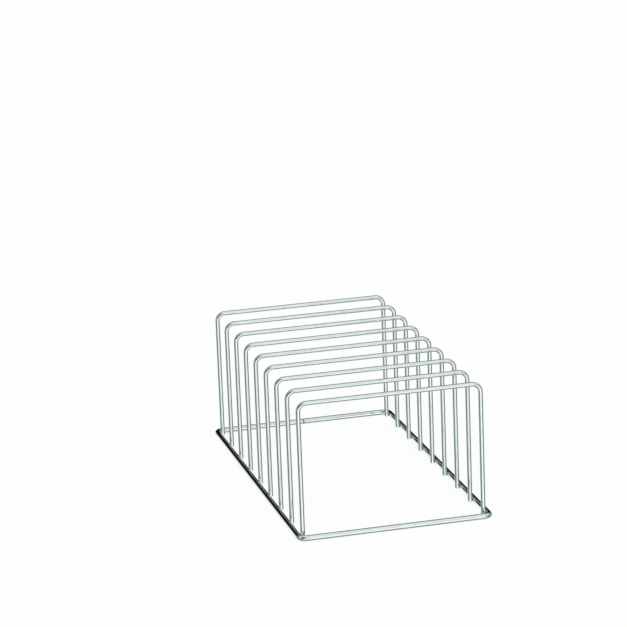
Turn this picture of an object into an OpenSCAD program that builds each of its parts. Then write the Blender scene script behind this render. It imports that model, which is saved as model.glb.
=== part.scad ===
// Sheet pan rack: a closed ring of round bar that lies flat on the table, and a row of upright
// inverted-U wire hoops whose legs are welded to the inner side of the ring's two side rails.
// Pans stand on edge in the slots between the hoops, on the side rails.
// The origin is on the table in the middle of the footprint: +X right, +Y to the back, +Z up.

/* [Hoops] */
// Number of hoops, which is one more than the number of slots
hoop_count = 9; // [3:1:14]
// Distance from one hoop to the next, centre to centre
hoop_pitch = 66; // [40:1:120]
// Distance between the centre lines of a hoop's two legs
hoop_width = 280; // [200:1:400]
// Height of the rack, from the table to the top of the hoops
rack_height = 211; // [120:1:300]
// Diameter of the hoops' wire
hoop_wire = 7; // [5:0.5:8]
// Radius of the hoops' top bends, to the wire's centre line
hoop_bend = 12.5; // [8:0.5:30]
// Height of the legs' cut ends above the table
foot_lift = 2; // [1:0.5:2]
// Chamfer round the legs' cut ends
foot_chamfer = 0.5; // [0.2:0.1:1]

/* [Base ring] */
// Diameter of the base ring's wire
ring_wire = 8.5; // [8:0.5:12]
// Radius of the ring's corner bends, to the wire's centre line
ring_bend = 10.5; // [9:0.5:10.5]
// Distance from the end hoops to the ring's front and back runs, centre to centre
ring_overhang = 14.5; // [14.5:0.5:40]

/* [Welds] */
// Depth that each leg is sunk into its side rail by the weld
weld_sink = 0.4; // [0.2:0.1:0.8]
// Radius of the weld bead round the spot where a leg meets its rail
weld_radius = 3.6; // [3:0.1:3.8]
// Thickness of that bead
weld_thickness = 2.2; // [1.5:0.1:3]
// Height that the ring's closing weld stands proud of its wire
seam_rise = 0.5; // [0.3:0.1:1]
// Length of the closing weld along the wire
seam_length = 4; // [3:0.5:6]

/* [Hidden] */
$fn = 64;
HOOPS = [1 : hoop_count];

// Side rails' centre lines, at plus and minus this X
rail_x = (hoop_width + hoop_wire + ring_wire) / 2 - weld_sink;
// Front and back runs' centre lines, at minus and plus this Y
run_y = (hoop_count - 1) * hoop_pitch / 2 + ring_overhang;
// Height of the ring's centre line
ring_z = ring_wire / 2;
// Height of the hoops' top bars' centre line
bar_z = rack_height - hoop_wire / 2;
// Where a leg's side meets the rail's side
contact_x = (hoop_width + hoop_wire - weld_sink) / 2;
// The closing weld is ground off where it would show outside or touch the table
seam_from = 60;
seam_sweep = 180;

// Y of hoop number i, counted from the front
function hoop_y(i) = (i - (hoop_count + 1) / 2) * hoop_pitch;

// A quarter bend about the Z axis, from +X round to +Y
module bend(wire, radius) {
    rotate_extrude(angle = 90)
        translate([radius, 0])
            circle(d = wire);
}

// The +X half of the base ring: a side rail, its two corner bends and half of each end run
module half_ring() {
    rail_half = run_y - ring_bend;
    run_half = rail_x - ring_bend;
    translate([rail_x, -rail_half, 0])
        rotate([-90, 0, 0])
            cylinder(d = ring_wire, h = 2 * rail_half);
    for (flip = [0, 1])
        mirror([0, flip, 0]) {
            translate([run_half, rail_half, 0])
                bend(ring_wire, ring_bend);
            translate([0, run_y, 0])
                rotate([0, 90, 0])
                    cylinder(d = ring_wire, h = run_half);
        }
}

// The whole base ring, lying on the table
module ring_path() {
    translate([0, 0, ring_z]) {
        half_ring();
        mirror([1, 0, 0])
            half_ring();
    }
}

// The +X half of a hoop in the XZ plane: a leg, its top bend and half of the top bar
module half_hoop() {
    straight = bar_z - hoop_bend - foot_lift - foot_chamfer;
    bar_half = hoop_width / 2 - hoop_bend;
    translate([hoop_width / 2, 0, foot_lift])
        rotate([0, 0, 180]) {
            cylinder(d1 = hoop_wire - 2 * foot_chamfer, d2 = hoop_wire, h = foot_chamfer);
            translate([0, 0, foot_chamfer])
                cylinder(d = hoop_wire, h = straight);
        }
    translate([bar_half, 0, bar_z - hoop_bend])
        rotate([90, 0, 0])
            bend(hoop_wire, hoop_bend);
    translate([0, 0, bar_z])
        rotate([0, 90, 0])
            cylinder(d = hoop_wire, h = bar_half);
}

// A whole hoop, before its legs are sunk into the rails
module hoop_path() {
    half_hoop();
    mirror([1, 0, 0])
        half_hoop();
}

// A round-edged bead about the X axis, centred where a leg meets its rail
module bead() {
    rotate([0, 90, 0])
        rotate_extrude() {
            translate([0, -weld_thickness / 2])
                square([weld_radius - weld_thickness / 2, weld_thickness]);
            translate([weld_radius - weld_thickness / 2, 0])
                circle(d = weld_thickness);
        }
}

// The base ring, one wire bent round to meet its own end
module base_ring() {
    color("gainsboro")
        ring_path();
}

// The bead that closes the ring, in the middle of the back run
module ring_closing_weld() {
    crown = (pow(seam_length / 2, 2) + pow(seam_rise, 2)) / (2 * seam_rise);
    color("darkgray")
        translate([0, run_y, ring_z])
            rotate([0, 90, 0])
                rotate([0, 0, 90 + seam_from])
                    rotate_extrude(angle = seam_sweep)
                        difference() {
                            translate([ring_wire / 2 + seam_rise - crown, 0])
                                circle(r = crown);
                            translate([-2 * crown, -crown])
                                square([2 * crown + ring_wire / 2, 2 * crown]);
                        }
}

// Hoop number i, its legs seated against the side rails
module hoop(i) {
    color("gainsboro")
        difference() {
            translate([0, hoop_y(i), 0])
                hoop_path();
            ring_path();
        }
}

// The two weld beads at the feet of hoop number i
module hoop_welds(i) {
    color("darkgray")
        difference() {
            for (side = [-1, 1])
                translate([side * contact_x, hoop_y(i), ring_z])
                    bead();
            translate([0, hoop_y(i), 0])
                hoop_path();
            ring_path();
        }
}

base_ring();
ring_closing_weld();
for (i = HOOPS) {
    hoop(i);
    hoop_welds(i);
}
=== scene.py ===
"""The looks of the sheet pan rack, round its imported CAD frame: bent wires, weld beads, studio."""
import math
import re

import bpy
import numpy as np
from mathutils import Matrix, Vector


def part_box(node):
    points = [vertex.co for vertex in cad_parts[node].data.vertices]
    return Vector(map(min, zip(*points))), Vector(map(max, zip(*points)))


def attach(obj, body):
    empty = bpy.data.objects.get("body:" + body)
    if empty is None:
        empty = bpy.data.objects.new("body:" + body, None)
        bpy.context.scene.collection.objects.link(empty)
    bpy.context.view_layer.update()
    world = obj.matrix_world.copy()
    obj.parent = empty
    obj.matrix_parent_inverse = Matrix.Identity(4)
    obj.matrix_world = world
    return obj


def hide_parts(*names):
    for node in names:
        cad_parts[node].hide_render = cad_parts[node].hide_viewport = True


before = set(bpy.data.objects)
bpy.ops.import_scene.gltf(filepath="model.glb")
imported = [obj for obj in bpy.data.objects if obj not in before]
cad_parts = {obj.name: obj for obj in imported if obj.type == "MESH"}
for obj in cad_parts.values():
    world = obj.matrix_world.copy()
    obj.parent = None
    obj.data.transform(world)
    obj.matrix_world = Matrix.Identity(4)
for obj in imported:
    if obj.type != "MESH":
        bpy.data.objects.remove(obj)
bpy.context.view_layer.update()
MM = 0.001

# Sizes of the rack that a node's box doesn't give
HOOP_BEND = 12.5 * MM  # radius of the hoops' top bends, to the wire's centre line
RING_BEND = 10.5 * MM  # radius of the ring's corner bends, to the wire's centre line
FOOT_CHAMFER = 0.5 * MM  # round the legs' cut ends
WELD_SINK = 0.4 * MM  # how far a leg is sunk into its rail

# How finely the wires are meshed
WIRE_SIDES = 32
STRAIGHT_STEP = 6 * MM
BEND_STEPS = 18

# What bending, cutting, welding and use leave on the wire
BEND_FLAT = 0.035  # share of the radius by which the outside of a bend is flattened
BUTT_GAP = 0.4 * MM  # between the ring's two ends, under the closing weld
CUT_DISH = 0.12 * MM  # how hollow the cut end of a leg is
DISH_SHARE = 0.4  # the width of the hollow's floor, as a share of the wire's
SIDE_RUB = 0.6  # how much pans rub the hoops' front and back, where the rails' tops have 1
HEAT_REACH = 7 * MM  # how far the dull, tinted zone round a weld spreads
WIRE_OFFSET = 3.7  # metres between one wire's place in the noise fields and the next one's

# Weld beads at the legs' feet. Each bead's seed shifts its ripples.
BEAD_AROUND, BEAD_ACROSS = 40, 10
BEAD_SHARE = 0.88  # a bead's mean radius, as a share of its CAD solid's
BEAD_RIPPLES = ((9, 0.035, 1.0), (2, 0.03, 1.7))  # waves round it, share of the radius, times the seed
BEAD_RIM, BEAD_FACE = 0.6, 0.8  # powers that fill out a bead's rim and flatten its faces

# The weld that closes the ring
SEAM_AROUND, SEAM_ACROSS = 90, 10
SEAM_FROM, SEAM_SWEEP = 60, 180  # degrees round the back run, counted up from its outer side
SEAM_ROOT = 0.3 * MM  # how deep the bead's edges lie under the wire's surface
SEAM_RIPPLES = 13
SEAM_FADE = 0.35  # power: the smaller, the more suddenly the bead ends
SEAM_WIDTHS = (0.62, 0.30, 0.06)  # shares of its width: at its ends, added between, and by ripples
SEAM_CROWNS = (0.78, 0.20)  # shares of its height: between ripples, and added by ripples

# Colours
WIRE_CLEAN, WIRE_SMUDGED = (0.85, 0.90, 0.90, 1), (0.75, 0.81, 0.81, 1)
WIRE_STREAKED, WIRE_TINTED = (0.62, 0.67, 0.67, 1), (0.50, 0.49, 0.45, 1)
# The welds' colours are their own duller metal, made darker still as painted shade for the joints
# between leg and rail
WELD_LIGHT_SHADED, WELD_DARK_SHADED = (0.50, 0.53, 0.53, 1), (0.30, 0.31, 0.30, 1)
TABLE_TOP, WHITE = (0.12, 0.12, 0.12, 1), (1, 1, 1, 1)

# Roughness: the wire's and the welds' own, from least to most, and what else adds to the wire's
WIRE_POLISH, WELD_SATIN = (0.07, 0.15), (0.26, 0.46)
LINES_DULL, HEAT_DULL, WEAR_DULL = 0.06, 0.12, 0.15

# Camera: where it looks, in metres from the rack's origin, and from where
CAMERA_AIM = Vector((-0.0896, -0.180, 0.3179))
CAMERA_DISTANCE = 4.452
CAMERA_AZIMUTH, CAMERA_ELEVATION, CAMERA_ROLL = -14.04, 15.47, -2.23
CAMERA_LENS, CAMERA_SENSOR = 172.5, 36.0  # millimetres

# The world's light by direction. x, y and z are the parts of a unit vector that points away from
# the rack: +X right, +Y back, +Z up. A pair of numbers is an edge: where a change starts and ends.
# The upper half is the studio, brighter in front than at the back. It is dark at the back and on
# the right below about 30 degrees, but for a lamp that reaches down in front. It has one more dark
# gap, in front on the left.
HORIZON = (-0.02, 0.02)
SKY_FRONT, SKY_BACK, DARK_ROOM = 0.92, 0.26, 0.004
SKY_TURN = (-0.1, 0.6)  # in y, from the front's strength to the back's
LAMP_X, LAMP_SIDES, LAMP_FRONT = 0.25, (0.18, 0.08), (0.0, -0.4)
ROOM_TOP, ROOM_TILT = (0.56, 0.44), 0.1  # the dark room's upper edge, which rises to the back
ROOM_BACK, ROOM_RIGHT = (-0.2, 0.2), (-0.2, 0.0)  # in y and in x, where the dark room starts
ROOM_ENDS, ROOM_ENDS_SHARE = (0.60, 0.45), 0.5  # far out on each side it is only half dark
GAP_WAY = Vector((-0.60, -0.66, 0.45)).normalized()
GAP_EDGE = (0.845, 0.905)  # cosines of the angle from the gap's middle

# The lower half is the lit table that the wires mirror. It is dimmer at the sides, straight below,
# and far away at the back.
TABLE_FRONT, TABLE_BACK, TABLE_FAR, TABLE_SIDES, TABLE_BELOW = 1.2, 0.90, 0.12, 0.24, 0.30
TABLE_TURN = (-0.6, 0.8)  # in y, from the front's strength to the back's
TABLE_FADE = (-0.26, -0.02)  # in z, from the back's strength to the far edge's
TABLE_EDGE = (0.35, 0.85)  # in x either way, to the sides' strength
TABLE_STEEP = (0.4, 0.95)  # in z downwards, to the strength straight below

COOL_TINT, NEUTRAL_TINT = (0.86, 1.0, 1.0, 1), (0.97, 1.0, 1.0, 1)
TINT_TURN = (0.1, 0.9)  # in strength: what is dim is cool

FLOOR_RADIUS = 9.0
FLOOR_GLOW = 0.88  # the table top is lit through from below, so shadows on it stay faint
BACKDROP_HEIGHT = 12.0
STAGE_SIDES = 96  # how finely the floor and the backdrop are rounded


# ---------------------------------------------------------------- paths and meshes

def bent_path(start, heading, runs, bend, turn):
    """Stations of a wire in a plane: straight runs joined by quarter bends that all turn one way.

    Each row is u, v, heading in radians, length so far, and the share of bending from 0 to 1."""
    rows = []
    point, angle, length = np.array(start, float), heading, 0.0
    for number, run in enumerate(runs):
        ahead = np.array((math.cos(angle), math.sin(angle)))
        steps = max(1, round(run / STRAIGHT_STEP))
        for i in range(steps + 1):
            along = run * i / steps
            rows.append((*(point + ahead * along), angle, length + along, 0.0))
        point, length = point + ahead * run, length + run
        if number == len(runs) - 1:
            break
        centre = point + bend * np.array((-ahead[1], ahead[0])) * turn
        for i in range(1, BEND_STEPS):
            part = i / BEND_STEPS
            now = angle + turn * part * math.pi / 2
            spoke = bend * turn * np.array((math.sin(now), -math.cos(now)))
            share = math.sin(math.pi * part) ** 0.5
            rows.append((*(centre + spoke), now, length + bend * part * math.pi / 2, share))
        angle += turn * math.pi / 2
        point = centre + bend * turn * np.array((math.sin(angle), -math.cos(angle)))
        length += bend * math.pi / 2
    return np.array(rows)


def sweep(stations, radius, place, turn, scales=None):
    """Rings of vertices along bent_path's stations, and each vertex's place on the unrolled wire.

    place(u, v, w) puts a point of the path's plane, at height w over it, in the row frame."""
    angles = np.arange(WIRE_SIDES) * 2 * math.pi / WIRE_SIDES
    out, over = np.cos(angles), np.sin(angles)
    scales = np.ones(len(stations)) if scales is None else scales
    verts, unrolled = [], []
    for (u, v, heading, length, share), scale in zip(stations, scales):
        outside = turn * np.array((math.sin(heading), -math.cos(heading)))
        flat = 1 - BEND_FLAT * share * np.clip(out, 0, 1) ** 2
        reach = radius * scale * flat * out
        rise = radius * scale * over
        verts += [place(u + outside[0] * a, v + outside[1] * a, b) for a, b in zip(reach, rise)]
        unrolled += [(radius * a, radius * b, length) for a, b in zip(out, over)]
    return verts, unrolled


def ring_faces(count, closed):
    """Quads between neighbouring rings of WIRE_SIDES vertices."""
    faces = []
    for i in range(count if closed else count - 1):
        a, b = i * WIRE_SIDES, (i + 1) % count * WIRE_SIDES
        for k in range(WIRE_SIDES):
            j = (k + 1) % WIRE_SIDES
            faces.append((a + k, a + j, b + j, b + k))
    return faces


def make_piece(name, verts, faces, material, nodes, sharp=()):
    """A smooth closed mesh that stands for CAD nodes. sharp holds groups of hard-edged vertices."""
    mesh = bpy.data.meshes.new(name)
    mesh.from_pydata(verts, [], faces)
    mesh.update()
    mesh.polygons.foreach_set("use_smooth", [True] * len(mesh.polygons))
    groups = [set(g) for g in sharp]
    if groups:
        for edge in mesh.edges:
            edge.use_edge_sharp = any(set(edge.vertices) <= g for g in groups)
    mesh.materials.append(material)
    piece = bpy.data.objects.new(name, mesh)
    bpy.context.scene.collection.objects.link(piece)
    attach(piece, "root")
    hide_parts(*nodes)
    return piece


def store(piece, name, kind, values):
    """Writes one value or vector per vertex, for the material to read."""
    attribute = piece.data.attributes.new(name, kind, "POINT")
    field = "vector" if kind == "FLOAT_VECTOR" else "value"
    attribute.data.foreach_set(field, np.asarray(values, np.float32).ravel())


def mark_wire(piece, verts, unrolled, number, rub):
    """Stores a wire's unrolled place, how near each point is to a weld, and where pans rub it."""
    verts = np.array(verts)
    unrolled = np.array(unrolled) + (0, 0, number * WIRE_OFFSET)
    gaps = np.linalg.norm(verts[:, None] - np.array(weld_points)[None], axis=2).min(axis=1)
    store(piece, "unrolled", "FLOAT_VECTOR", unrolled)
    store(piece, "heat", "FLOAT", np.exp(-(gaps / HEAT_REACH) ** 2))
    store(piece, "rub", "FLOAT", rub)


# ---------------------------------------------------------------- node trees

class Tree:
    """Short calls that add nodes to one tree. A factor or value may be a socket or a number."""

    def __init__(self, owner):
        owner.use_nodes = True
        self.nodes, self.links = owner.node_tree.nodes, owner.node_tree.links
        self.nodes.clear()

    def add(self, kind, inputs=(), **settings):
        node = self.nodes.new("ShaderNode" + kind)
        for name, value in settings.items():
            setattr(node, name, value)
        for name, value in dict(inputs).items():
            self.feed(node.inputs[name], value)
        return node

    def feed(self, socket, value):
        if isinstance(value, bpy.types.NodeSocket):
            self.links.new(value, socket)
        else:
            socket.default_value = value

    def maths(self, operation, a, b=0.0):
        return self.add("Math", {0: a, 1: b}, operation=operation).outputs[0]

    def remap(self, value, low, high, to_low=0.0, to_high=1.0):
        inputs = {"Value": value, 1: low, 2: high, 3: to_low, 4: to_high}
        return self.add("MapRange", inputs, interpolation_type="SMOOTHSTEP").outputs["Result"]

    def mix(self, factor, a, b):
        """Between two colours."""
        return self.add("Mix", {0: factor, 6: a, 7: b}, data_type="RGBA").outputs[2]

    def blend(self, factor, a, b):
        """Between two numbers."""
        return self.add("Mix", {0: factor, 2: a, 3: b}).outputs[0]

    def noise(self, vector, scale, detail=3.0, roughness=0.55):
        """scale is in spots per metre."""
        inputs = {"Vector": vector, "Scale": scale, "Detail": detail, "Roughness": roughness}
        return self.add("TexNoise", inputs).outputs[0]

    def stretched(self, vector, along):
        """The vector with its third part, along the wire, multiplied. Below 1 draws patterns out."""
        return self.add("Mapping", {"Vector": vector, "Scale": (1, 1, along)}).outputs[0]

    def attribute(self, name, output):
        return self.add("Attribute", attribute_name=name).outputs[output]


def bright_wire():
    """Bright drawn steel: streaks along the wire, smudges, rubbed spots, and tint at the welds."""
    material = bpy.data.materials.new("bright_wire")
    t = Tree(material)
    unrolled = t.attribute("unrolled", "Vector")
    heat, rub = t.attribute("heat", "Fac"), t.attribute("rub", "Fac")

    streaks = t.noise(t.stretched(unrolled, 0.02), 2600, 4)
    bands = t.noise(t.stretched(unrolled, 0.12), 420, 2)
    smudges = t.noise(unrolled, 60, 4, 0.6)
    ripple = t.noise(t.stretched(unrolled, 0.5), 130, 2)
    scuffs = t.noise(t.stretched(unrolled, 6.0), 900, 3)
    worn = t.maths("MULTIPLY", rub, t.remap(scuffs, 0.52, 0.68))

    handled = t.mix(t.remap(smudges, 0.35, 0.75), WIRE_CLEAN, WIRE_SMUDGED)
    drawn = t.mix(t.remap(streaks, 0.35, 0.8, 0.0, 0.35), handled, WIRE_STREAKED)
    tinted = t.mix(t.maths("MULTIPLY", heat, 0.5), drawn, WIRE_TINTED)

    polish = t.remap(smudges, 0.3, 0.8, *WIRE_POLISH)
    lines = t.remap(bands, 0.3, 0.7, 0.0, LINES_DULL)
    hot, rubbed = t.maths("MULTIPLY", heat, HEAT_DULL), t.maths("MULTIPLY", worn, WEAR_DULL)
    roughness = t.maths("ADD", t.maths("ADD", polish, lines), t.maths("ADD", hot, rubbed))

    fine = t.add("Bump", {"Strength": 0.35, "Distance": 0.01 * MM, "Height": streaks})
    soft = t.add("Bump", {
        "Strength": 0.3,
        "Distance": 0.06 * MM,
        "Height": ripple,
        "Normal": fine.outputs[0],
    })
    shader = t.add("BsdfPrincipled", {
        "Base Color": tinted,
        "Metallic": 1.0,
        "Roughness": roughness,
        "Normal": soft.outputs[0],
    })
    t.add("OutputMaterial", {"Surface": shader.outputs[0]})
    return material


def weld_metal_shaded():
    """The welds' metal: satin, uneven and a little warmer. It is darker than the wire partly as duller
    weld metal and partly as painted shade in the joints between leg and rail.
    """
    material = bpy.data.materials.new("weld_metal_shaded")
    t = Tree(material)
    place = t.add("TexCoord").outputs["Object"]
    mottle = t.noise(place, 700, 4, 0.6)
    grain = t.noise(place, 3500, 3)
    # Painted shade: both weld colours are darker than the weld metal alone would be, to stand for the
    # shade in the joints between leg and rail
    colour = t.mix(t.remap(mottle, 0.35, 0.7), WELD_LIGHT_SHADED, WELD_DARK_SHADED)
    relief = t.add("Bump", {"Strength": 0.5, "Distance": 0.05 * MM, "Height": grain})
    shader = t.add("BsdfPrincipled", {
        "Base Color": colour,
        "Metallic": 1.0,
        "Roughness": t.remap(mottle, 0.3, 0.7, *WELD_SATIN),
        "Normal": relief.outputs[0],
    })
    t.add("OutputMaterial", {"Surface": shader.outputs[0]})
    return material


# ---------------------------------------------------------------- the rack's pieces

def in_ring_plane(z):
    """The ring's path lies flat: u is X, v is Y."""
    return lambda u, v, w: (u, v, z - w)


def in_hoop_plane(y):
    """A hoop's path stands up: u is X, v is Z."""
    return lambda u, v, w: (u, y - w, v)


def base_ring(material):
    """One wire bent to a rectangle. It starts and ends at the closing weld, in the back run."""
    low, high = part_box("base_ring")
    radius = (high.z - low.z) / 2
    half_x, half_y = high.x - radius, high.y - radius
    front, rail = 2 * (half_x - RING_BEND), 2 * (half_y - RING_BEND)
    back = (front - BUTT_GAP) / 2
    runs = (back, rail, front, rail, back)
    stations = bent_path((-BUTT_GAP / 2, half_y), math.pi, runs, RING_BEND, 1)
    verts, unrolled = sweep(stations, radius, in_ring_plane(low.z + radius), 1)
    faces = ring_faces(len(stations), True)
    piece = make_piece("base_ring_wire", verts, faces, material, ["base_ring"])
    on_rail = [abs(x) > half_x - radius and abs(y) < half_y - RING_BEND for x, y, z in verts]
    on_top = np.clip((np.array(verts)[:, 2] - low.z) / radius - 1, 0, 1)
    mark_wire(piece, verts, unrolled, 0, on_top * on_rail)


def cap(verts, unrolled, faces, ring, last):
    """Closes an end of a tube with a fan of triangles to a new point in the middle of that ring."""
    first = ring * WIRE_SIDES
    rim = [first + k for k in range(WIRE_SIDES)]
    verts.append(tuple(np.mean([verts[k] for k in rim], axis=0)))
    unrolled.append((0, 0, unrolled[first][2]))
    centre = len(verts) - 1
    for a, b in zip(rim, rim[1:] + rim[:1]):
        faces.append((centre, a, b) if last else (centre, b, a))


def hoop(number, material):
    """One inverted U. Its legs end in a chamfered, slightly hollow cut, a little above the table."""
    node = f"hoop_{number}"
    low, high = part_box(node)
    radius = (high.y - low.y) / 2
    middle = (high.y + low.y) / 2
    half = high.x - radius
    leg = high.z - radius - HOOP_BEND - low.z
    runs = (leg, 2 * (half - HOOP_BEND), leg)
    path = bent_path((-half, low.z), math.pi / 2, runs, HOOP_BEND, -1)
    start, end = path[0].copy(), path[-1].copy()
    lead = np.array((0, FOOT_CHAMFER, 0, FOOT_CHAMFER, 0))
    path[0], path[-1] = start + lead, end + lead * (1, 1, 1, -1, 1)
    dish = np.array((0, CUT_DISH, 0, 0, 0))
    stations = np.vstack((start + dish, start, path, end, end + dish))
    cut = 1 - FOOT_CHAMFER / radius
    scales = np.concatenate(((DISH_SHARE, cut), np.ones(len(path)), (cut, DISH_SHARE)))
    verts, unrolled = sweep(stations, radius, in_hoop_plane(middle), -1, scales)
    faces = ring_faces(len(stations), False)
    cap(verts, unrolled, faces, 0, False)
    cap(verts, unrolled, faces, len(stations) - 1, True)
    rings = [range(i * WIRE_SIDES, (i + 1) * WIRE_SIDES) for i in range(len(stations))]
    sharp = (rings[1], rings[2], rings[-3], rings[-2])
    piece = make_piece(f"{node}_wire", verts, faces, material, [node], sharp)
    side = np.abs(np.array(verts)[:, 1] - middle) / radius
    mark_wire(piece, verts, unrolled, number, SIDE_RUB * side)


def weld_bead(centre, radius, thick, seed):
    """A closed, slightly rippled bead about the X axis, as the metal that a weld squeezes out."""
    verts = []
    for i in range(1, BEAD_ACROSS):
        tilt = math.pi * (i / BEAD_ACROSS - 0.5)
        x = centre.x + thick / 2 * math.copysign(abs(math.sin(tilt)) ** BEAD_FACE, tilt)
        full = radius * abs(math.cos(tilt)) ** BEAD_RIM
        for k in range(BEAD_AROUND):
            turn = 2 * math.pi * k / BEAD_AROUND
            waves = [part * math.sin(n * turn + step * seed) for n, part, step in BEAD_RIPPLES]
            reach = full * (BEAD_SHARE + sum(waves))
            verts.append((x, centre.y + reach * math.cos(turn), centre.z + reach * math.sin(turn)))
    faces = []
    last_ring = (BEAD_ACROSS - 2) * BEAD_AROUND
    for first in range(0, last_ring, BEAD_AROUND):
        for k in range(BEAD_AROUND):
            a, b = first + k, first + (k + 1) % BEAD_AROUND
            faces.append((a, b, b + BEAD_AROUND, a + BEAD_AROUND))
    pole = len(verts)
    half = Vector((thick / 2, 0, 0))
    verts += [tuple(centre - half), tuple(centre + half)]
    for k in range(BEAD_AROUND):
        following = (k + 1) % BEAD_AROUND
        faces.append((following, k, pole))
        faces.append((last_ring + k, last_ring + following, pole + 1))
    return verts, faces


def hoop_welds(number, material):
    """The two beads at a hoop's feet, in one piece as in the CAD node."""
    node = f"hoop_{number}_welds"
    low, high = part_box(node)
    radius = (high.z - low.z) / 2
    verts, faces = [], []
    for point in weld_points[2 * number - 2:2 * number]:
        seed = 2.3 * number + 40 * point.x
        thick = 2 * (high.x - abs(point.x))
        bead_verts, bead_faces = weld_bead(point, radius, thick, seed)
        faces += [tuple(k + len(verts) for k in face) for face in bead_faces]
        verts += bead_verts
    make_piece(f"{node}_beads", verts, faces, material, [node])


def closing_weld(material):
    """The bead that joins the ring's two ends: a low ridge of ripples that fades out at both ends."""
    node = "ring_closing_weld"
    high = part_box(node)[1]
    middle = weld_points[-1]
    wire_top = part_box("base_ring")[1].z
    root = wire_top - middle.z - SEAM_ROOT
    narrow, wider, wavy = SEAM_WIDTHS
    low_crown, wavy_crown = SEAM_CROWNS
    verts = []
    for i in range(SEAM_AROUND + 1):
        part = i / SEAM_AROUND
        angle = math.radians(SEAM_FROM + SEAM_SWEEP * part)
        fade = math.sin(math.pi * part) ** SEAM_FADE
        ripple = 0.5 + 0.5 * math.cos(2 * math.pi * SEAM_RIPPLES * part)
        half = high.x * (narrow + wider * fade + wavy * ripple * fade)
        crown = (high.z - wire_top) * fade * (low_crown + wavy_crown * ripple)
        for k in range(SEAM_ACROSS + 1):
            side = 2 * k / SEAM_ACROSS - 1
            reach = root + (crown + SEAM_ROOT) * (1 - side ** 2)
            y = middle.y + reach * math.cos(angle)
            verts.append((half * side, y, middle.z + reach * math.sin(angle)))
    loop = SEAM_ACROSS + 1
    last = SEAM_AROUND * loop
    faces = [tuple(range(loop)), tuple(range(last, last + loop))[::-1]]
    for first in range(0, last, loop):
        for k in range(loop):
            a, b = first + k, first + (k + 1) % loop
            faces.append((a, a + loop, b + loop, b))
    make_piece("ring_closing_bead", verts, faces, material, [node])


def weld_places():
    """Where each leg meets its rail: left, then right, hoop by hoop. Last, where the ring closes."""
    ring_low, ring_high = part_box("base_ring")
    ring_radius = (ring_high.z - ring_low.z) / 2
    ring_z = ring_low.z + ring_radius
    places = []
    for number in range(1, hoop_count + 1):
        low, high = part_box(f"hoop_{number}")
        for side in (-1, 1):
            x = side * (high.x - WELD_SINK / 2)
            places.append(Vector((x, (low.y + high.y) / 2, ring_z)))
    places.append(Vector((0, ring_high.y - ring_radius, ring_z)))
    return places


# ---------------------------------------------------------------- studio

def studio_world():
    """Soft light that changes only with direction, as the constants' notes say."""
    world = bpy.data.worlds.new("studio")
    t = Tree(world)
    way = t.add("TexCoord").outputs["Generated"]
    x, y, z = t.add("SeparateXYZ", {0: way}).outputs
    sideways = t.maths("ABSOLUTE", x)

    lit_sky = t.remap(y, *SKY_TURN, SKY_FRONT, SKY_BACK)
    from_lamp = t.maths("ABSOLUTE", t.maths("SUBTRACT", x, LAMP_X))
    lamp = t.maths("MULTIPLY", t.remap(from_lamp, *LAMP_SIDES), t.remap(y, *LAMP_FRONT))
    height = t.maths("SUBTRACT", z, t.maths("MULTIPLY", y, ROOM_TILT))
    walls = t.maths("MAXIMUM", t.remap(y, *ROOM_BACK), t.remap(x, *ROOM_RIGHT))
    depth = t.maths("MULTIPLY", walls, t.remap(sideways, *ROOM_ENDS, ROOM_ENDS_SHARE, 1.0))
    low = t.maths("MULTIPLY", t.remap(height, *ROOM_TOP), depth)
    room = t.maths("MULTIPLY", low, t.maths("SUBTRACT", 1.0, lamp))
    nearness = t.add("VectorMath", {0: way, 1: GAP_WAY}, operation="DOT_PRODUCT").outputs["Value"]
    dark = t.maths("MAXIMUM", room, t.remap(nearness, *GAP_EDGE))
    sky = t.blend(dark, lit_sky, DARK_ROOM)

    table_back = t.remap(z, *TABLE_FADE, TABLE_BACK, TABLE_FAR)
    table_ends = t.blend(t.remap(y, *TABLE_TURN), TABLE_FRONT, table_back)
    table_round = t.blend(t.remap(sideways, *TABLE_EDGE), table_ends, TABLE_SIDES)
    steep = t.remap(t.maths("MULTIPLY", z, -1.0), *TABLE_STEEP)
    table = t.blend(steep, table_round, TABLE_BELOW)

    strength = t.blend(t.remap(z, *HORIZON), table, sky)
    tint = t.mix(t.remap(strength, *TINT_TURN), COOL_TINT, NEUTRAL_TINT)
    light = t.add("Background", {"Color": tint, "Strength": strength})
    t.add("OutputWorld", {"Surface": light.outputs[0]})
    bpy.context.scene.world = world


def floor():
    """A plain pale table top. The wires mirror the world's lower half in its place."""
    material = bpy.data.materials.new("pale_floor")
    t = Tree(material)
    shader = t.add("BsdfPrincipled", {
        "Base Color": TABLE_TOP,
        "Roughness": 1.0,
        "Specular IOR Level": 0.0,
        "Emission Color": WHITE,
        "Emission Strength": FLOOR_GLOW,
    })
    t.add("OutputMaterial", {"Surface": shader.outputs[0]})
    bpy.ops.mesh.primitive_circle_add(
        vertices=STAGE_SIDES, radius=FLOOR_RADIUS, fill_type="NGON")
    set_stage(bpy.context.object, "floor", material)


def backdrop():
    """A pale wall all round, far away. It only stops low views from looking past the table."""
    material = bpy.data.materials.new("pale_wall")
    t = Tree(material)
    shader = t.add("Emission", {"Color": WHITE, "Strength": 1.0})
    t.add("OutputMaterial", {"Surface": shader.outputs[0]})
    bpy.ops.mesh.primitive_cylinder_add(
        vertices=STAGE_SIDES, radius=FLOOR_RADIUS, depth=BACKDROP_HEIGHT, end_fill_type="NOTHING")
    wall = bpy.context.object
    set_stage(wall, "backdrop", material)
    wall.visible_diffuse = False


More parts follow.
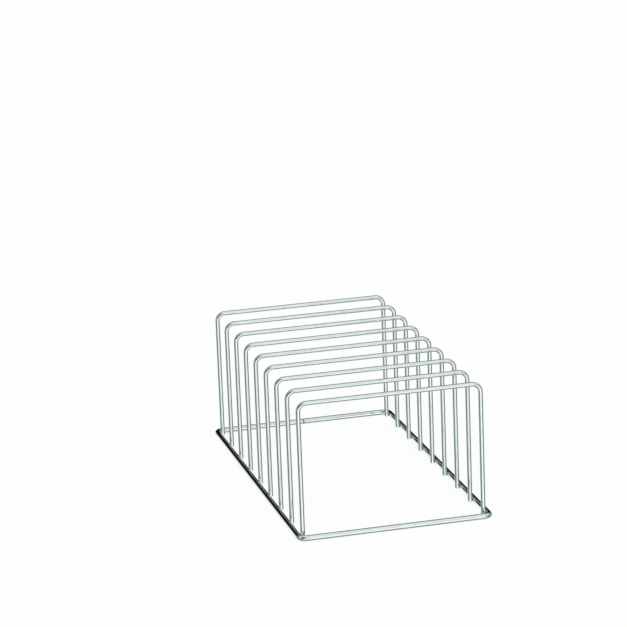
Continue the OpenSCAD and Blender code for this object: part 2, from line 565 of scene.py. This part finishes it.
def set_stage(piece, name, material):
    """Names a stage piece and gives it its material. Neither the wires nor the shadows take it in."""
    piece.name = name
    piece.data.materials.append(material)
    piece.visible_glossy = False
    piece.visible_shadow = False


def way_to(azimuth, elevation):
    """The unit vector from the rack to a place in the studio. Azimuth 0 is in front of the rack."""
    a, e = math.radians(azimuth), math.radians(elevation)
    return Vector((math.sin(a) * math.cos(e), -math.cos(a) * math.cos(e), math.sin(e)))


def soft_sun(name, azimuth, elevation, angle, strength):
    """Even light from one side, as soft as a large softbox. The wires don't mirror it."""
    data = bpy.data.lights.new(name, "SUN")
    data.angle, data.energy = math.radians(angle), strength
    light = bpy.data.objects.new(name, data)
    light.rotation_euler = (-way_to(azimuth, elevation)).to_track_quat("-Z", "Y").to_euler()
    light.visible_glossy = False
    bpy.context.scene.collection.objects.link(light)


def camera():
    """The photograph's viewing angle."""
    a, roll = math.radians(CAMERA_AZIMUTH), math.radians(CAMERA_ROLL)
    back = way_to(CAMERA_AZIMUTH, CAMERA_ELEVATION)
    level = Vector((math.cos(a), math.sin(a), 0))
    upright = back.cross(level)
    right = level * math.cos(roll) + upright * math.sin(roll)
    up = upright * math.cos(roll) - level * math.sin(roll)
    data = bpy.data.cameras.new("camera")
    data.lens, data.sensor_width = CAMERA_LENS, CAMERA_SENSOR
    data.clip_start, data.clip_end = 0.1, 100
    eye = bpy.data.objects.new("camera", data)
    turned = Matrix((right, up, back)).transposed().to_4x4()
    eye.matrix_world = Matrix.Translation(CAMERA_AIM + back * CAMERA_DISTANCE) @ turned
    bpy.context.scene.collection.objects.link(eye)
    bpy.context.scene.camera = eye


# ---------------------------------------------------------------- build

camera()
hoop_count = sum(bool(re.fullmatch(r"hoop_\d+", name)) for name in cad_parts)
weld_points = weld_places()
wire, weld = bright_wire(), weld_metal_shaded()
base_ring(wire)
for number in range(1, hoop_count + 1):
    hoop(number, wire)
    hoop_welds(number, weld)
closing_weld(weld)

studio_world()
floor()
backdrop()
soft_sun("key", azimuth=-35, elevation=60, angle=50, strength=1.4)
bpy.context.scene.view_settings.view_transform = "Standard"
